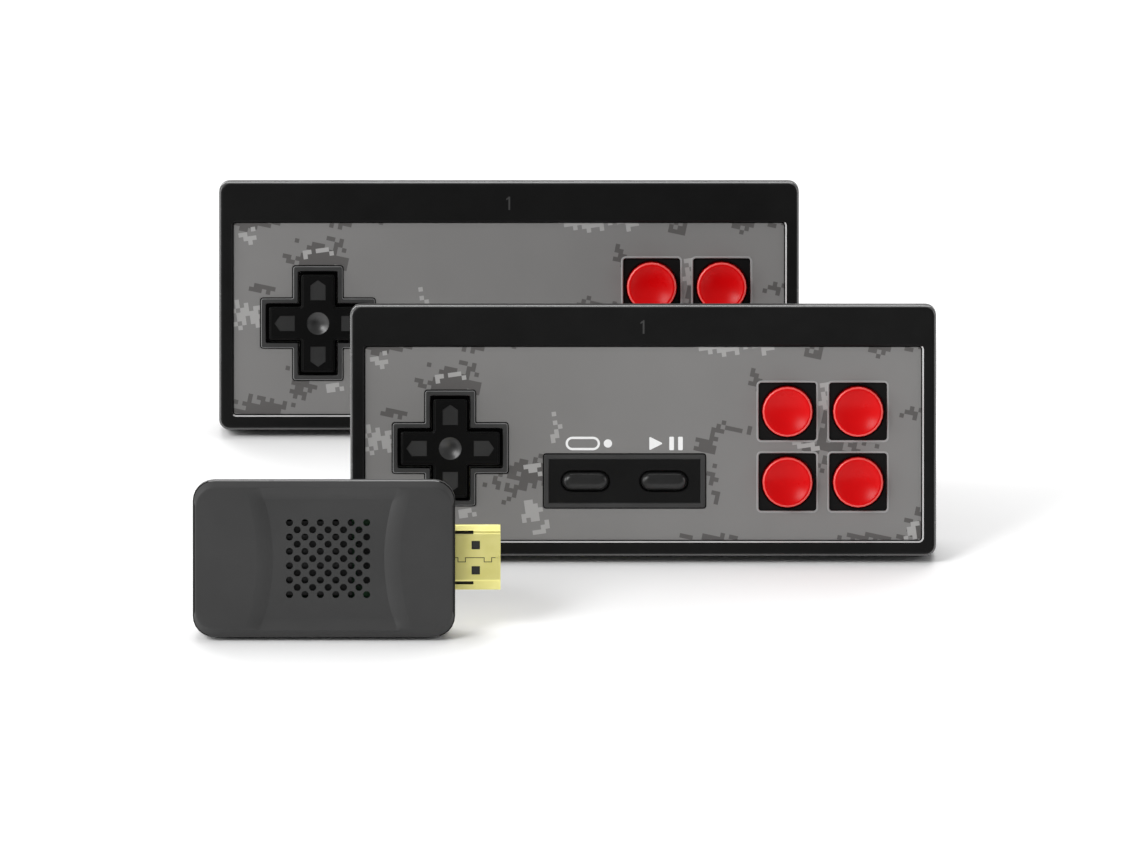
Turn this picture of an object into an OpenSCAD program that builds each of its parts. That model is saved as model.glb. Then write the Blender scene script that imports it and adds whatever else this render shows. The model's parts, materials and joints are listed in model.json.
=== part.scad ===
// Game stick for a television, with two wireless controllers.
// The three items stand on one surface, each on its lower long wall.
// The rear half of every case is drafted by the lean angle, so that the lower wall lies flat on the
// surface and the face leans back by that angle.
//
// Units are millimetres and +Z is up. Each item is drawn in its own frame first: X to the right, Y up its
// face, Z out of its face, from the middle of its back. The modules on_pad() and on_stick() stand it up.

/* [Layout] */
// Lean of each face from upright, and draft of each rear case half
lean = 15; // [12:0.5:17]
// Middle of the front controller to the middle of the set, along X
front_pad_x = 16.7; // [0:0.1:30]
// Middle of the rear controller to the middle of the set, along X
rear_pad_x = -12.3; // [-30:0.1:0]
// Middle of the stick's case to the middle of the set, along X
stick_x = -51.65; // [-70:0.05:-40]
// Distance that the rear controller stands behind the front one
rear_step = 87.7; // [60:0.1:110]
// Distance that the stick stands before the front controller
stick_step = 56.2; // [40:0.1:80]

/* [Controller case] */
// Width of the controller
pad_w = 126; // [124:0.5:130]
// Height of the controller's face
pad_h = 54; // [53:0.5:57]
// Depth of the drafted rear shell
pad_split = 10; // [10:0.1:10.5]
// Full thickness of the case, buttons left out
pad_t = 18; // [18:0.1:18.4]
// Corner radius of the face
pad_corner = 2.3; // [2:0.1:4]
// Thickness of the case walls
wall = 2; // [1.8:0.1:2.2]
// Width of the recess that holds the printed faceplate
window_w = 120; // [118:0.5:120]
// Height of the faceplate recess
window_h = 42; // [41:0.1:42]
// Middle of the faceplate recess below the middle of the face
window_drop = 2.8; // [2.6:0.1:3]
// Depth of the faceplate recess below the rim
recess_depth = 1.2; // [1:0.1:1.3]

/* [Controls] */
// Middle of the direction pad, from the middle of the face
dpad_at = [-41.5, -3.8];
// Middle of the four action buttons
action_at = [38.6, -3.5];
// Distance between action buttons
action_pitch = 15.2; // [14.6:0.1:15.6]
// Radius of an action button's cap
action_r = 5.4; // [5:0.1:5.5]
// Middle of the menu button block
menu_at = [-4, -10.9];
// Distance between the two menu buttons
menu_pitch = 16.9; // [16:0.1:17.5]

/* [Stick] */
// Width of the stick's case
stick_w = 56.1; // [56:0.1:58]
// Height of the stick's face
stick_h = 33.6; // [33:0.1:36]
// Full thickness of the stick's case
stick_t = 13; // [13:0.1:13.5]
// Depth of the drafted bottom cover
stick_split = 8; // [8:0.1:8.2]
// Corner radius of the stick
stick_corner = 4.5; // [3:0.1:5]
// Length of the video plug outside the case
plug_out = 9.7; // [9:0.1:11]

/* [Hidden] */
$fn = 64;
PADS = ["front_pad", "rear_pad"];
PAD_PARTS = [
    "front_shell", "back_shell", "faceplate", "dpad", "dpad_hub", "dpad_membrane", "select_button",
    "start_button", "menu_membrane", "action_membrane", "circuit_board", "board_parts", "battery_cells",
    "battery_contacts", "battery_door", "power_switch", "case_screws"
];
ACTION_NAMES = [["button_bottom_left", "button_bottom_right"], ["button_top_left", "button_top_right"]];
STICK_PARTS = [
    "top_cover", "bottom_cover", "circuit_board", "board_parts", "heat_spreader", "video_plug_shell",
    "video_plug_insulator", "video_plug_contacts", "power_port", "power_port_tongue", "card_slot",
    "memory_card"
];

draft = tan(lean);
through = 50;      // longer than any wall that a hole goes through

// Front edges of the stick are cut back by long_cut on its long sides and short_cut on its short ones.
edge_z = 1;
long_cut = 1.5;
short_cut = 0.5;

// Set: the middle of its depth lies over the origin.
set_front = stick_step + (stick_t - stick_split) * cos(lean) - long_cut * sin(lean);
set_back = rear_step + (pad_h - pad_split * draft) * sin(lean) + pad_split * cos(lean);
front_pad_y = (set_front - set_back) / 2;

// Controller, from the back (z = 0) to the rim (z = pad_t).
floor_t = 2.2;
board_z = 8.8;
board_t = 1.6;
membrane_z = board_z + board_t;
membrane_t = 0.8;
face_z = pad_t - recess_depth;
inner_z = face_z - 2;
plate_t = 0.5;
cap_floor_z = 13.5;
flange_top_z = inner_z - 0.1;
dpad_span = 21.2;
dpad_arm = 7.2;
dpad_gap = 0.7;
dpad_top_z = 19;
dpad_floor_z = 12.6;
collar_rim = 1.05;
collar_top_z = 17.8;
menu_block = [34.7, 11.5];
menu_block_top_z = 17.6;
menu_cap = [9.9, 3.9];
menu_gap = 0.25;
action_gap = 0.25;
square_side = 12.4;
screw_at = [54.5, 19.5];
post_split_z = board_z - 0.05;
lip_w = pad_w - 5;
lip_h = pad_h - 5;
lip_t = 1;

// Battery bay and its sliding door, in the upper part of the back. The bay passes between the direction
// pad and the action buttons, so its middle is left of the middle of the case.
bay_middle = -3.3;
bay_x = 24.6;
bay_y = [1, 22.9];
bay_roof_z = 12.6;
bay_wall = 1.2;
door_x = 25;
door_y = -0.2;
door_t = 1.4;
door_gap = 0.15;
tongue_z = [0.7, 1.3];
cell_r = 5.2;
cell_pitch = 10.7;
cell_z = 7.1;
cell_x = [-20.6, 23.1];
switch_at = [44, 14];
switch_slot = [7.6, 3.4];
switch_travel = 3.2;

// Stick, from the back (z = 0) to the front (z = stick_t).
skin = 1.6;
stick_board_z = 5.9;
stick_board_t = 1.2;
stick_board_top = stick_board_z + stick_board_t;
waist_depth = 0.5;
waist_x = 1;
waist_half = 11.9;
waist_r = 45;
vent_r = 0.75;
vent_pitch = [3.3, 3.08];
plug_z = 6.5;
plug_half_w = 6.95;
plug_half_h = 2.225;
plug_skin = 0.35;
plug_x = [17.4, stick_w / 2 + plug_out];
plug_mouth = 1.1;
port_at = [-stick_w / 2 + 0.1, 6];
port_half = [3.75, 1.25];
slot_y = -6.5;
card = [15, 11, 1];

// ---------- shapes that repeat ----------

module rounded_rect(w, h, r) {
    square([w - 2 * r, h], center = true);
    square([w, h - 2 * r], center = true);
    for (x = [-1, 1], y = [-1, 1])
        translate([x * (w / 2 - r), y * (h / 2 - r)]) circle(r);
}

module pill(size) {
    square([size.x - size.y, size.y], center = true);
    for (x = [-1, 1]) translate([x * (size.x - size.y) / 2, 0]) circle(size.y / 2);
}

module cross(span, arm) {
    square([span, arm], center = true);
    square([arm, span], center = true);
}

module slab(z0, z1) {
    translate([0, 0, z0]) linear_extrude(z1 - z0) children();
}

module block(low, high) {
    translate(low) cube(high - low);
}

// A block whose four walls lean outwards by the draft as they rise from its base at z = 0.
module drafted_block(base_w, base_h, height, r) {
    grow = height * draft;
    intersection() {
        linear_extrude(height) rounded_rect(base_w + 2 * grow, base_h + 2 * grow, r);
        rotate([90, 0, 90]) linear_extrude(base_w + 2 * grow + 1, center = true)
            wall_profile(base_h, height);
        rotate([90, 0, 0]) linear_extrude(base_h + 2 * grow + 1, center = true)
            wall_profile(base_w, height);
    }
}

module wall_profile(base, height) {
    grow = height * draft;
    polygon([[-base / 2, 0], [base / 2, 0], [base / 2 + grow, height], [-base / 2 - grow, height]]);
}

module at_each_screw() {
    for (x = [-1, 1], y = [-1, 1]) translate([x * screw_at.x, y * screw_at.y, 0]) children();
}

module at_each_action_button() {
    for (x = [-0.5, 0.5], y = [-0.5, 0.5])
        translate([action_at.x + x * action_pitch, action_at.y + y * action_pitch, 0]) children();
}

module at_each_menu_button() {
    for (x = [-0.5, 0.5]) translate([menu_at.x + x * menu_pitch, menu_at.y, 0]) children();
}

module at_bay() {
    translate([bay_middle, 0, 0]) children();
}

module at_dpad() {
    translate([dpad_at.x, dpad_at.y, 0]) children();
}

// ---------- controller: case ----------

module pad_outer_back() {
    drafted_block(pad_w - 2 * pad_split * draft, pad_h - 2 * pad_split * draft, pad_split, pad_corner);
}

module front_shell() {
    hole_span = dpad_span + 2 * dpad_gap;
    hole_arm = dpad_arm + 2 * dpad_gap;
    color([0.1, 0.1, 0.1]) difference() {
        union() {
            difference() {
                slab(pad_split, pad_t) rounded_rect(pad_w, pad_h, pad_corner);
                slab(pad_split - 1, inner_z) rounded_rect(pad_w - 2 * wall, pad_h - 2 * wall, 1);
                translate([0, -window_drop, 0]) slab(face_z, pad_t + 1)
                    rounded_rect(window_w, window_h, 0.8);
            }
            at_dpad() slab(face_z - 0.1, collar_top_z)
                cross(hole_span + 2 * collar_rim, hole_arm + 2 * collar_rim);
            translate([menu_at.x, menu_at.y, 0]) slab(face_z - 0.1, menu_block_top_z)
                rounded_rect(menu_block.x, menu_block.y, 0.5);
            at_each_screw() slab(board_z, inner_z + 0.1) circle(2.6);
            locating_lip();
        }
        at_dpad() slab(0, through) cross(hole_span, hole_arm);
        at_each_action_button() slab(0, through) circle(action_r + action_gap);
        at_each_menu_button() slab(0, through) pill(menu_cap + [2 * menu_gap, 2 * menu_gap]);
        at_each_screw() slab(0, inner_z - 1) circle(1.05);
    }
}

// Rim inside the front shell that drops into the back shell, open where the battery bay passes.
module locating_lip() {
    difference() {
        union() {
            slab(board_z, pad_split + 0.1) rounded_rect(lip_w, lip_h, 1);
            slab(pad_split, pad_split + 1.2)
                rounded_rect(pad_w - 2 * wall + 0.2, pad_h - 2 * wall + 0.2, 1);
        }
        slab(0, through) rounded_rect(lip_w - 2 * lip_t, lip_h - 2 * lip_t, 0.5);
        at_bay() block([-bay_x - 2, 0, 0], [bay_x + 2, pad_h, through]);
    }
}

module back_shell() {
    color([0.1, 0.1, 0.1]) difference() {
        union() {
            difference() {
                pad_outer_back();
                translate([0, 0, floor_t])
                    drafted_block(pad_w - 2 * wall - 2 * (pad_split - floor_t) * draft,
                        pad_h - 2 * wall - 2 * (pad_split - floor_t) * draft, pad_split - floor_t + 1, 1);
            }
            at_each_screw() slab(1, post_split_z) circle(3.6);
            at_bay() block([-bay_x - bay_wall, bay_y[0] - bay_wall, 1],
                [bay_x + bay_wall, bay_y[1] + 1.6, bay_roof_z + 1]);
        }
        at_bay() {
            block([-bay_x, bay_y[0], floor_t], [bay_x, bay_y[1], bay_roof_z]);
            block([-door_x + 1.5, bay_y[0] + 0.5, 0], [door_x - 1.5, bay_y[1] - 0.6, floor_t + 1]);
            block([-door_x, door_y, -1], [door_x, pad_h, door_t]);
            block([-door_x - 1.1, door_y, tongue_z[0] - 0.1], [door_x + 1.1, pad_h, door_t]);
        }
        at_each_screw() slab(-1, 4.4) circle(2.7);
        at_each_screw() slab(-1, through) circle(1.3);
        translate([switch_at.x, switch_at.y, 0]) {
            slab(-1, 0.8) rounded_rect(12, 6.4, 0.8);
            slab(-1, through) square(switch_slot, center = true);
        }
    }
}

module battery_door() {
    ridges = 5;
    color([0.11, 0.11, 0.11]) difference() {
        intersection() {
            pad_outer_back();
            at_bay() {
                block([-door_x + door_gap, 0, -1], [door_x - door_gap, pad_h, tongue_z[1]]);
                block([-door_x - 0.9, 0, tongue_z[0]], [door_x + 0.9, 22, tongue_z[1]]);
            }
        }
        for (i = [0 : ridges - 1]) translate([bay_middle, 6 + i * 2.2, -1]) slab(0, 1.4) pill([16, 1]);
        translate([bay_middle, 6 + ridges * 2.2 + 1, -1])
            linear_extrude(1.4) polygon([[-3, 0], [3, 0], [0, 3]]);
    }
}

module case_screws() {
    color([0.55, 0.55, 0.57]) at_each_screw() difference() {
        union() {
            slab(2.8, 4.4) circle(2.2);
            slab(4.3, inner_z - 2) circle(1);
        }
        slab(2, 3.6) cross(2.4, 0.55);
    }
}

module faceplate() {
    color([0.5, 0.5, 0.5]) difference() {
        translate([0, -window_drop, 0]) slab(face_z, face_z + plate_t)
            rounded_rect(window_w - 0.4, window_h - 0.4, 0.6);
        at_dpad() slab(0, through) cross(
            dpad_span + 2 * (dpad_gap + collar_rim) + 0.4,
            dpad_arm + 2 * (dpad_gap + collar_rim) + 0.4
        );
        translate([menu_at.x, menu_at.y, 0]) slab(0, through)
            rounded_rect(menu_block.x + 0.4, menu_block.y + 0.4, 0.6);
        at_each_action_button() slab(0, through) rounded_rect(square_side, square_side, 0.6);
    }
}

// ---------- controller: controls ----------

module dpad() {
    arrow_at = 7.2;
    dish_r = 2.35;
    dish_depth = 0.5;
    dish_ball = (dish_r * dish_r + dish_depth * dish_depth) / (2 * dish_depth);
    color([0.08, 0.08, 0.08]) at_dpad() difference() {
        union() {
            slab(dpad_floor_z, cap_floor_z) cross(23, 8);
            slab(dpad_floor_z, dpad_top_z) cross(dpad_span, dpad_arm);
        }
        for (turn = [0 : 90 : 270]) rotate([0, 0, turn]) translate([0, arrow_at, 0])
            slab(dpad_top_z - 0.3, dpad_top_z + 1)
                polygon([[-1.7, -2.2], [1.7, -2.2], [1.7, 1.1], [0, 2.3], [-1.7, 1.1]]);
        translate([0, 0, dpad_top_z - dish_depth + dish_ball]) sphere(dish_ball, $fn = 128);
    }
}

// Hub that the direction pad rocks on. It rests on the membrane with a domed tip under the pad.
module dpad_hub() {
    color([0.25, 0.25, 0.25]) at_dpad() {
        slab(membrane_z + membrane_t + 0.2, 12.2) circle(2.2);
        translate([0, 0, 12.2]) cylinder(h = 0.3, r1 = 2.2, r2 = 0.3);
    }
}

// One action button, placed by its column and row, each -0.5 or 0.5.
module action_button(column, row) {
    dish_r = 4.7;
    dish_depth = 0.9;
    cap_top_z = 19.5;
    dish_ball = (dish_r * dish_r + dish_depth * dish_depth) / (2 * dish_depth);
    color([0.8, 0.07, 0.08])
        translate([action_at.x + column * action_pitch, action_at.y + row * action_pitch, 0]) difference() {
            union() {
                slab(cap_floor_z, flange_top_z) circle(action_r + 1);
                slab(cap_floor_z, cap_top_z) circle(action_r);
            }
            translate([0, 0, cap_top_z - dish_depth + dish_ball]) sphere(dish_ball, $fn = 128);
        }
}

// Select is at -0.5 and start at 0.5.
module menu_button(side) {
    cap_top_z = 18.9;
    color([0.14, 0.14, 0.14]) translate([menu_at.x + side * menu_pitch, menu_at.y, 0]) {
        slab(cap_floor_z, flange_top_z) pill(menu_cap + [1.7, 1.7]);
        slab(cap_floor_z, cap_top_z) pill(menu_cap);
        slab(12.8, cap_floor_z) circle(1.5);
    }
}

module dpad_membrane() {
    color([0.72, 0.72, 0.7]) at_dpad() {
        slab(membrane_z, membrane_z + membrane_t) circle(12.2);
        for (turn = [0 : 90 : 270]) rotate([0, 0, turn]) translate([0, 7, 0])
            translate([0, 0, membrane_z + membrane_t]) cylinder(h = 0.4, r1 = 2, r2 = 1.6);
    }
}

module action_membrane() {
    color([0.72, 0.72, 0.7]) {
        translate([action_at.x, action_at.y, 0]) slab(membrane_z, membrane_z + membrane_t)
            rounded_rect(action_pitch + 12, action_pitch + 12, 2);
        at_each_action_button() translate([0, 0, membrane_z + membrane_t])
            cylinder(h = 0.6, r1 = 4.2, r2 = 3.2);
    }
}

module menu_membrane() {
    color([0.72, 0.72, 0.7]) {
        translate([menu_at.x, menu_at.y, 0]) slab(membrane_z, membrane_z + membrane_t)
            rounded_rect(menu_pitch + 12, 8, 1.5);
        at_each_menu_button() translate([0, 0, membrane_z + membrane_t])
            cylinder(h = 0.5, r1 = 2.6, r2 = 2);
    }
}

// ---------- controller: electronics and battery ----------

module pad_circuit_board() {
    color([0.05, 0.3, 0.15]) difference() {
        slab(board_z, board_z + board_t) rounded_rect(lip_w - 2 * lip_t - 0.6, lip_h - 2 * lip_t - 0.6, 1);
        at_bay() block([-bay_x - 1.6, bay_y[0] - 1.6, 0], [bay_x + 1.6, pad_h, through]);
        at_each_screw() slab(0, through) circle(2.9);
    }
}

module pad_board_parts() {
    switch_body = [9, 4];
    color([0.12, 0.12, 0.13]) {
        block([-46, -8, board_z - 1.6], [-34, 4, board_z]);                      // controller chip
        block([-46, 9, membrane_z], [-34, 19, membrane_z + 2]);                  // radio module
        block([30, -18, board_z - 1.2], [40, -10, board_z]);                     // memory chip
        block([14, -16, board_z - 3.2], [18, -5, board_z]);                      // crystal
        for (x = [-16, -8, 0]) translate([x, -12, board_z - 5]) cylinder(h = 5, r = 2);   // capacitors
        translate([switch_at.x, switch_at.y, 0]) slab(5.2, board_z) square(switch_body, center = true);
    }
}

module battery_cells() {
    nub = 0.8;
    color([0.2, 0.45, 0.3]) for (i = [0, 1])
        translate([bay_middle, (bay_y[0] + bay_y[1]) / 2 + (i - 0.5) * cell_pitch, cell_z])
        mirror([i, 0, 0]) {
            translate([cell_x[0], 0, 0]) rotate([0, 90, 0]) cylinder(h = cell_x[1] - cell_x[0], r = cell_r);
            translate([cell_x[1] - 0.1, 0, 0]) rotate([0, 90, 0]) cylinder(h = nub + 0.1, r = 1.9);
        }
}

// Wire of a conical spring, swept along a helix that narrows from the plate to the cell.
module cell_spring(length, r0, r1, turns, wire) {
    sides = 6;
    steps = turns * 12;
    function path(i) = let (a = 30 * i, r = r0 + (r1 - r0) * i / steps)
        [length * i / steps, r * cos(a), r * sin(a)];
    function around(i, k) = let (a = 30 * i, b = 360 * k / sides)
        path(i) + wire * [cos(b), sin(b) * cos(a), sin(b) * sin(a)];
    points = [for (i = [0 : steps], k = [0 : sides - 1]) around(i, k)];
    sleeve = [for (i = [0 : steps - 1], k = [0 : sides - 1], half = [0, 1])
        let (a = i * sides + k, b = i * sides + (k + 1) % sides, c = a + sides, d = b + sides)
        half == 0 ? [a, d, b] : [a, c, d]];
    ends = [[for (k = [0 : sides - 1]) k], [for (k = [sides - 1 : -1 : 0]) steps * sides + k]];
    polyhedron(points, concat(sleeve, ends));
}

module battery_contacts() {
    plate_t = 0.3;
    color([0.7, 0.68, 0.6]) for (i = [0, 1])
        translate([bay_middle, (bay_y[0] + bay_y[1]) / 2 + (i - 0.5) * cell_pitch, 0]) mirror([i, 0, 0]) {
            block([bay_x - 0.1 - plate_t, -4, 3], [bay_x - 0.1, 4, 11]);
            block([-bay_x + 0.1, -4, 3], [-bay_x + 0.1 + plate_t, 4, 11]);
            translate([-bay_x + 0.2, 0, cell_z])
                cell_spring(bay_x + cell_x[0] - 0.5, 3.2, 2, 2.5, 0.22);
        }
}

module power_switch() {
    neck = [3.6, 3];
    color([0.2, 0.2, 0.2]) translate([switch_at.x - switch_travel / 2, switch_at.y, 0]) difference() {
        union() {
            slab(0.2, floor_t + 0.3) square(neck, center = true);
            slab(floor_t + 0.2, floor_t + 1) square([10.5, 5], center = true);
            slab(floor_t + 1, 5) square([2, 1.5], center = true);
        }
        for (x = [-1, 0, 1]) translate([x * 1.1 - 0.25, -2, 0]) cube([0.5, 4, 0.5]);
    }
}

// ---------- stick: case ----------

// Case outline whose front edges are cut back, wider on the long sides.
module stick_front_block() {
    intersection() {
        slab(stick_split, stick_t) rounded_rect(stick_w, stick_h, stick_corner);
        rotate([90, 0, 90]) linear_extrude(stick_w + 1, center = true) cut_profile(stick_h / 2, long_cut);
        rotate([90, 0, 0]) linear_extrude(stick_h + 1, center = true) cut_profile(stick_w / 2, short_cut);
    }
}

module cut_profile(half, cut) {
    polygon([
        [-half, 0], [half, 0], [half, stick_t - edge_z], [half - cut, stick_t],
        [cut - half, stick_t], [-half, stick_t - edge_z]
    ]);
}

module waist() {
    difference() {
        translate([waist_x, 0]) square([2 * waist_half + 6, stick_h - 3.2], center = true);
        for (side = [-1, 1])
            translate([waist_x + side * (waist_half + waist_r), 0]) circle(waist_r, $fn = 180);
    }
}

module at_each_vent() {
    for (row = [0 : 10]) {
        staggered = row % 2;
        for (column = [0 : 5 - staggered])
            translate([
                waist_x - 0.1 + (column - 2.5 + staggered / 2) * vent_pitch.x,
                (row - 5) * vent_pitch.y / 2
            ]) children();
    }
}

// Room that the plug and the two ports need in the end walls.
module stick_end_openings() {
    block([stick_w / 2 - 10, -7.2, plug_z - 2.45], [stick_w / 2 + 1, 7.2, plug_z + 2.45]);
    block([-stick_w / 2 - 1, port_at.y - 4, stick_board_top - 0.2],
        [-stick_w / 2 + 5, port_at.y + 4, stick_board_top + 2.8]);
    block([-stick_w / 2 - 1, slot_y - 5.8, stick_board_top + 0.2],
        [-stick_w / 2 + 5, slot_y + 5.8, stick_board_top + 1.7]);
}

module stick_top_cover() {
    color([0.27, 0.27, 0.27]) difference() {
        stick_front_block();
        slab(stick_split - 1, stick_t - waist_depth - 1.1)
            rounded_rect(stick_w - 2 * skin, stick_h - 2 * skin, stick_corner - skin);
        slab(stick_t - waist_depth, stick_t + 1) waist();
        at_each_vent() slab(stick_split, stick_t + 1) circle(vent_r, $fn = 24);
        stick_end_openings();
    }
}

module stick_bottom_cover() {
    cavity_grow = 2 * (stick_split - skin) * draft;
    color([0.27, 0.27, 0.27]) difference() {
        drafted_block(stick_w - 2 * stick_split * draft, stick_h - 2 * stick_split * draft,
            stick_split, stick_corner);
        translate([0, 0, skin]) drafted_block(stick_w - 2 * skin - cavity_grow,
            stick_h - 2 * skin - cavity_grow, stick_split - skin + 1, stick_corner - skin);
        stick_end_openings();
        for (y = [-2 : 2]) translate([0, y * 3, 0]) slab(-1, 0.4) pill([26, 1.2]);
    }
}

// ---------- stick: electronics, plug and ports ----------

module stick_circuit_board() {
    color([0.05, 0.25, 0.12]) slab(stick_board_z, stick_board_top)
        translate([(plug_x[0] - 0.4 - 25.5) / 2, 0]) rounded_rect(plug_x[0] - 0.4 + 25.5, 28, 2);
}

module stick_board_parts() {
    color([0.12, 0.12, 0.13]) {
        block([-9, -7, stick_board_top], [5, 7, stick_board_top + 1.2]);         // processor
        block([7, -6, stick_board_top], [16, 6, stick_board_top + 1.1]);         // memory
        block([-14, -9, stick_board_z - 1.1], [-2, 9, stick_board_z]);           // flash storage
        block([4, 2, stick_board_z - 1.5], [14, 12, stick_board_z]);             // radio module
        block([5, -9, stick_board_z - 1.4], [9, -5, stick_board_z]);             // inductor
        for (y = [9, 11.4]) block([-6, y, stick_board_top], [-3, y + 1.5, stick_board_top + 0.9]);
    }
}

module stick_heat_spreader() {
    fins = 6;
    base_z = stick_board_top + 1.2;
    color([0.12, 0.12, 0.13]) translate([-2, 0, 0]) {
        slab(base_z, base_z + 0.8) square(16, center = true);
        for (i = [0 : fins - 1]) translate([0, (i - (fins - 1) / 2) * 3, 0])
            slab(base_z + 0.8, base_z + 2.2) square([16, 0.9], center = true);
    }
}

// Outline of the video plug, seen along it: narrow side towards the front, with the corners there cut off.
module plug_outline(inset) {
    w = plug_half_w - inset;
    h = plug_half_h - inset;
    polygon([[-w, -h], [w, -h], [w, 0.3 - inset / 3], [4.9 - inset / 3, h], [inset / 3 - 4.9, h],
        [-w, 0.3 - inset / 3]]);
}

module along_plug(x0, x1) {
    translate([x0, 0, plug_z]) rotate([90, 0, 90]) linear_extrude(x1 - x0) children();
}

module video_plug_shell() {
    latch = 1.8;
    latch_x = stick_w / 2 + 4.4;
    color([0.85, 0.82, 0.5]) difference() {
        along_plug(plug_x[0], plug_x[1]) plug_outline(0);
        along_plug(plug_x[0] - 1, plug_x[1] + 1) plug_outline(plug_skin);
        for (side = [-1, 1]) {
            translate([latch_x, side * 2.7, 0]) slab(plug_z - 5, plug_z + 5) square(latch, center = true);
            translate([stick_w / 2 + 1.9, side * 5.4, 0]) slab(plug_z, plug_z + 5)
                square([4, 0.7], center = true);
        }
    }
}

module video_plug_insulator() {
    color([0.1, 0.1, 0.1]) difference() {
        along_plug(plug_x[0] - 0.2, plug_x[1] - plug_mouth) plug_outline(plug_skin + 0.08);
        block([plug_x[1] - 9.5, -5.7, plug_z - 0.95], [plug_x[1], 5.7, plug_z + 0.95]);
    }
}

// Nineteen strips: ten on one wall of the slot in the insulator, nine on the other.
module video_plug_contacts() {
    strip = [7.4, 0.5, 0.25];
    color([0.9, 0.75, 0.35]) for (side = [0, 1]) for (i = [0 : 9 - side])
        translate([plug_x[1] - plug_mouth - 0.4 - strip.x, (i - 4.5 + side / 2) * 1 - strip.y / 2,
            side == 0 ? plug_z + 0.95 - strip.z : plug_z - 0.95]) cube(strip);
}

module port_outline(inset) {
    w = port_half.x - inset;
    h = port_half.y - inset;
    polygon([[-w, h], [w, h], [w, -0.2], [w - 1, -h], [1 - w, -h], [-w, -0.2]]);
}

module along_port(x0, x1) {
    translate([x0, port_at.y, stick_board_top + port_half.y + 0.05]) rotate([90, 0, 90])
        linear_extrude(x1 - x0) children();
}

module power_port() {
    color([0.7, 0.7, 0.72]) difference() {
        along_port(port_at.x, port_at.x + 5.4) port_outline(0);
        along_port(port_at.x - 1, port_at.x + 5) port_outline(0.3);
    }
}

module power_port_tongue() {
    color([0.1, 0.1, 0.1]) along_port(port_at.x + 0.8, port_at.x + 5) translate([0, 0.25])
        square([4.2, 0.7], center = true);
}

module card_slot() {
    x0 = -stick_w / 2 + 1.9;
    color([0.7, 0.7, 0.72]) difference() {
        block([x0, slot_y - 6.6, stick_board_top], [x0 + 15.4, slot_y + 6.6, stick_board_top + 1.9]);
        block([x0 - 1, slot_y - card.y / 2 - 0.2, stick_board_top + 0.4],
            [x0 + 14.6, slot_y + card.y / 2 + 0.2, stick_board_top + 1.6]);
    }
}

module memory_card() {
    x0 = -stick_w / 2 + 0.2;
    color([0.1, 0.1, 0.11]) difference() {
        block([x0, slot_y - card.y / 2, stick_board_top + 0.5],
            [x0 + card.x, slot_y + card.y / 2, stick_board_top + 0.5 + card.z]);
        block([x0 + 8, slot_y - card.y / 2 - 1, 0], [x0 + card.x + 1, slot_y - card.y / 2 + 1.2, through]);
    }
}

// ---------- placing ----------

// Stands an item that has its lower wall's front line at y = -height / 2, z = split.
module stand(x, y, height, split) {
    translate([x, y, 0]) rotate([90 - lean, 0, 0]) translate([0, height / 2, -split]) children();
}

module on_pad(pad) {
    if (pad == "front_pad") stand(front_pad_x, front_pad_y, pad_h, pad_split) children();
    else stand(rear_pad_x, front_pad_y + rear_step, pad_h, pad_split) children();
}

module on_stick() {
    stand(stick_x, front_pad_y - stick_step, stick_h, stick_split) children();
}

for (pad = PADS) {
    on_pad(pad) front_shell();
    on_pad(pad) back_shell();
    on_pad(pad) faceplate();
    on_pad(pad) dpad();
    on_pad(pad) dpad_hub();
    on_pad(pad) dpad_membrane();
    on_pad(pad) menu_button(-0.5);
    on_pad(pad) menu_button(0.5);
    on_pad(pad) menu_membrane();
    on_pad(pad) action_membrane();
    on_pad(pad) pad_circuit_board();
    on_pad(pad) pad_board_parts();
    on_pad(pad) battery_cells();
    on_pad(pad) battery_contacts();
    on_pad(pad) battery_door();
    on_pad(pad) power_switch();
    on_pad(pad) case_screws();
    for (row = [0, 1], column = [0, 1])
        on_pad(pad) action_button(column - 0.5, row - 0.5);
}
on_stick() stick_top_cover();
on_stick() stick_bottom_cover();
on_stick() stick_circuit_board();
on_stick() stick_board_parts();
on_stick() stick_heat_spreader();
on_stick() video_plug_shell();  // stick_video_plug_shell
on_stick() video_plug_insulator();  // stick_video_plug_insulator
on_stick() video_plug_contacts();  // stick_video_plug_contacts
on_stick() power_port();  // stick_power_port
on_stick() power_port_tongue();  // stick_power_port_tongue
on_stick() card_slot();  // stick_card_slot
on_stick() memory_card();  // stick_memory_card
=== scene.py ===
"""Looks for the television game set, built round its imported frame.

Sizes here are in millimetres, in each item's own frame: X to the right, Y up the item's face and Z out of
its face, from the middle of its back. A piece's mesh is made there, in metres, and then stood up in the set.
Its attribute item_place keeps the item's own coordinates.
"""

import json
import math

import bmesh
import bpy
from mathutils import Matrix, Vector


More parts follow.
